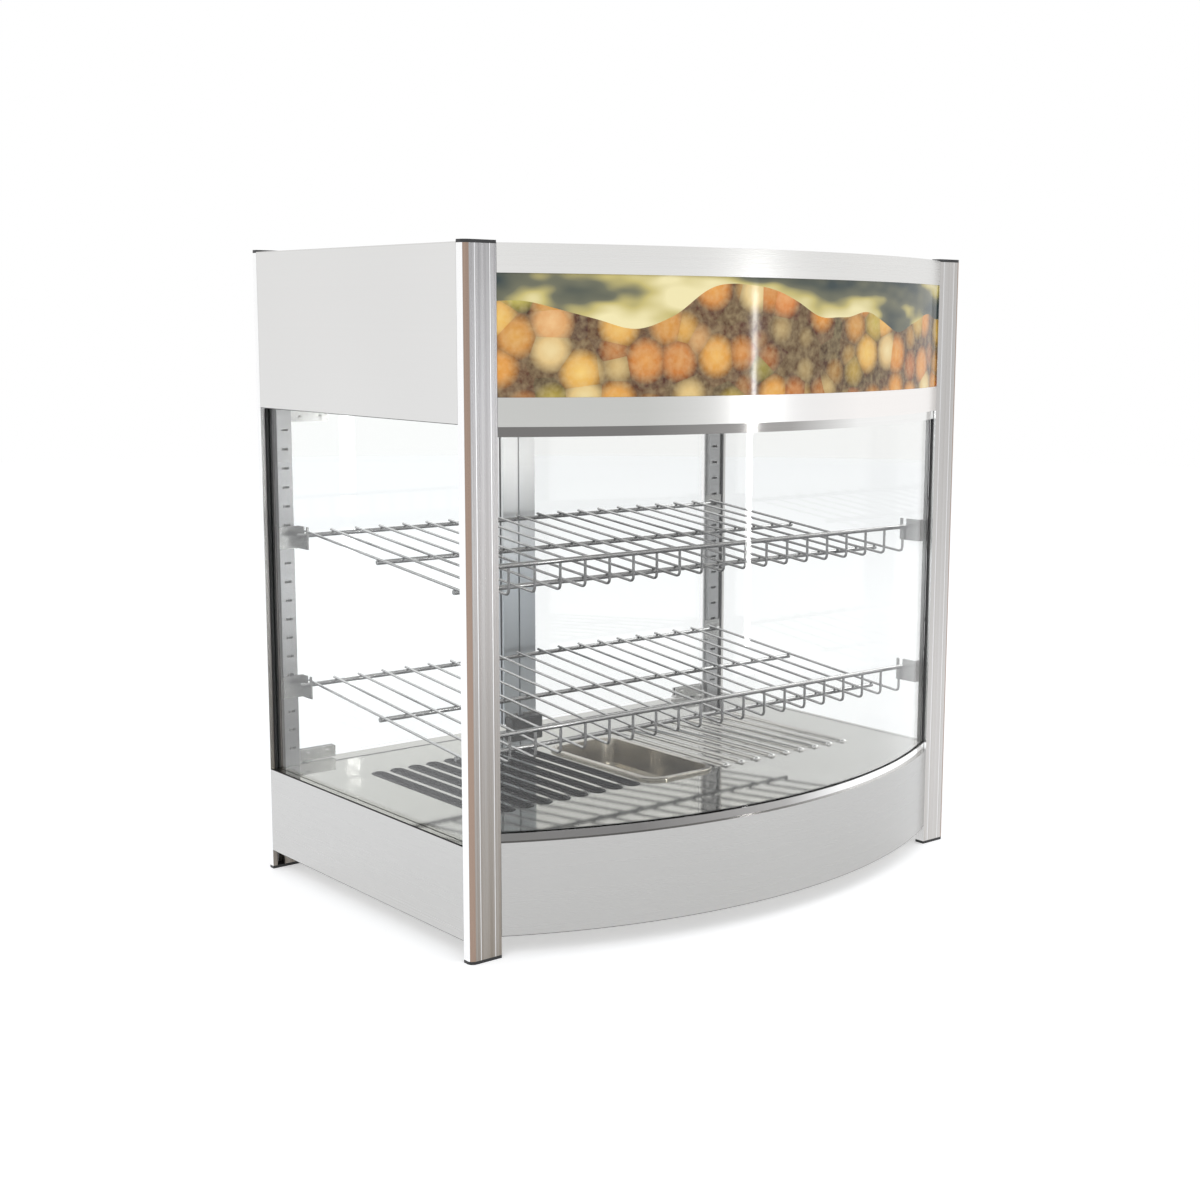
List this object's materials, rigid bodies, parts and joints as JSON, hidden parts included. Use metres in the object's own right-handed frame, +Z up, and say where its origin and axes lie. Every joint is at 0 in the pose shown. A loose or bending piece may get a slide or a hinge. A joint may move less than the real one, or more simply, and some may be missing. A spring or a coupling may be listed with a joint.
{
  "type": "heated deli display case",
  "caption": "Countertop heated food cabinet with curved glass front, lit header, sloping wire shelves, slotted warm floor with a water pan, and hinged rear glass doors.",
  "frame": {"origin": "centre of the box around the object, on the surface it stands on", "axes": "+Z up, -Y towards the customer (curved glass), +Y towards the server (doors and controls), +X to the customer's right"},
  "size_m": [0.65, 0.487, 0.655],
  "materials": {
    "brushed_sheet": "fine brushed, satin",
    "satin_post": "satin with fine lengthwise lines",
    "black_cap": "moulded, fine grain",
    "strip_steel": "bright galvanised",
    "polished_sheet": "mirror polished",
    "pan_steel": "drawn and polished",
    "bright_wire": "bright plated",
    "clear_glass": "clear toughened, polished edges",
    "black_seal": "extruded seal",
    "picture_film": null,
    "lamp_glass": "opal",
    "white_plastic": "moulded nylon",
    "heater_tube": "oxidised sheath",
    "door_aluminium": "anodised, satin",
    "hinge_chrome": "bright plated",
    "strike_steel": "zinc plated",
    "control_body": "moulded",
    "knob_plastic": "moulded, fine grain",
    "power_button": "green moulded",
    "lamp_button": "red moulded",
    "pilot_lens": "amber lens"
  },
  "bodies": {
    "cabinet": {"header_top_panel": "brushed_sheet", "header_side_left": "brushed_sheet", "header_side_right": "brushed_sheet", "header_rear_panel": "brushed_sheet", "header_upper_band": "brushed_sheet", "header_lower_band": "brushed_sheet", "base_plate": "brushed_sheet", "base_side_left": "brushed_sheet", "base_side_right": "brushed_sheet", "base_front_panel": "brushed_sheet", "base_rear_panel": "brushed_sheet", "ceiling_plate": "brushed_sheet", "heater_brackets": "brushed_sheet", "post_front_left": "satin_post", "post_front_right": "satin_post", "post_rear_left": "satin_post", "post_rear_right": "satin_post", "post_foot_caps": "black_cap", "post_top_caps": "black_cap", "magnetic_catch": "black_cap", "switch_bezels": "black_cap", "cord_gland": "black_cap", "terminal_block": "black_cap", "shelf_strip_front_left": "strip_steel", "shelf_strip_front_right": "strip_steel", "shelf_strip_rear_left": "strip_steel", "shelf_strip_rear_right": "strip_steel", "shelf_clips": "strip_steel", "floor_plate": "polished_sheet", "upper_glass_channel": "polished_sheet", "lower_glass_channel": "polished_sheet", "heat_reflector": "polished_sheet", "front_glass": "clear_glass", "side_glass_left": "clear_glass", "side_glass_right": "clear_glass", "front_glass_seals": "black_seal", "side_gaskets": "black_seal", "picture_panel": "picture_film", "lamp_tube": "lamp_glass", "lamp_diffuser": "lamp_glass", "lamp_holders": "white_plastic", "hinge_bushes": "white_plastic", "heaters": "heater_tube", "panel_screws": "strike_steel", "thermostat": "control_body", "pilot_lamp": "pilot_lens"},
    "upper_shelf": {"upper_shelf": "bright_wire"},
    "lower_shelf": {"lower_shelf": "bright_wire"},
    "water_pan": {"water_pan": "pan_steel"},
    "door_left": {"left_door_glass": "clear_glass", "left_door_stile": "door_aluminium", "left_door_hinges": "hinge_chrome", "left_door_strike": "strike_steel"},
    "door_right": {"right_door_glass": "clear_glass", "right_door_stile": "door_aluminium", "right_door_hinges": "hinge_chrome", "right_door_strike": "strike_steel"},
    "thermostat_knob": {"thermostat_knob": "knob_plastic"},
    "power_rocker": {"power_rocker": "power_button"},
    "lamp_rocker": {"lamp_rocker": "lamp_button"}
  },
  "joints": [
    {"name": "upper_shelf_lift", "type": "slide", "parent": "cabinet", "child": "upper_shelf", "axis": [0, 0, 1], "range_m": [0, 0.02]},
    {"name": "lower_shelf_lift", "type": "slide", "parent": "cabinet", "child": "lower_shelf", "axis": [0, 0, 1], "range_m": [0, 0.02]},
    {"name": "water_pan_lift", "type": "slide", "parent": "cabinet", "child": "water_pan", "axis": [0, 0, 1], "range_m": [0, 0.04]},
    {"name": "door_left_hinge", "type": "hinge", "parent": "cabinet", "child": "door_left", "pos_m": [-0.277, 0.219, 0.302], "axis": [0, 0, 1], "range_deg": [0, 110]},
    {"name": "door_right_hinge", "type": "hinge", "parent": "cabinet", "child": "door_right", "pos_m": [0.277, 0.219, 0.302], "axis": [0, 0, -1], "range_deg": [0, 110]},
    {"name": "thermostat_turn", "type": "hinge", "parent": "cabinet", "child": "thermostat_knob", "pos_m": [0.12, 0.2255, 0.066], "axis": [0, -1, 0], "range_deg": [0, 270]},
    {"name": "power_press", "type": "hinge", "parent": "cabinet", "child": "power_rocker", "pos_m": [-0.2, 0.2258, 0.066], "axis": [-1, 0, 0], "range_deg": [0, 20]},
    {"name": "lamp_press", "type": "hinge", "parent": "cabinet", "child": "lamp_rocker", "pos_m": [-0.16, 0.2258, 0.066], "axis": [-1, 0, 0], "range_deg": [0, 20]}
  ]
}
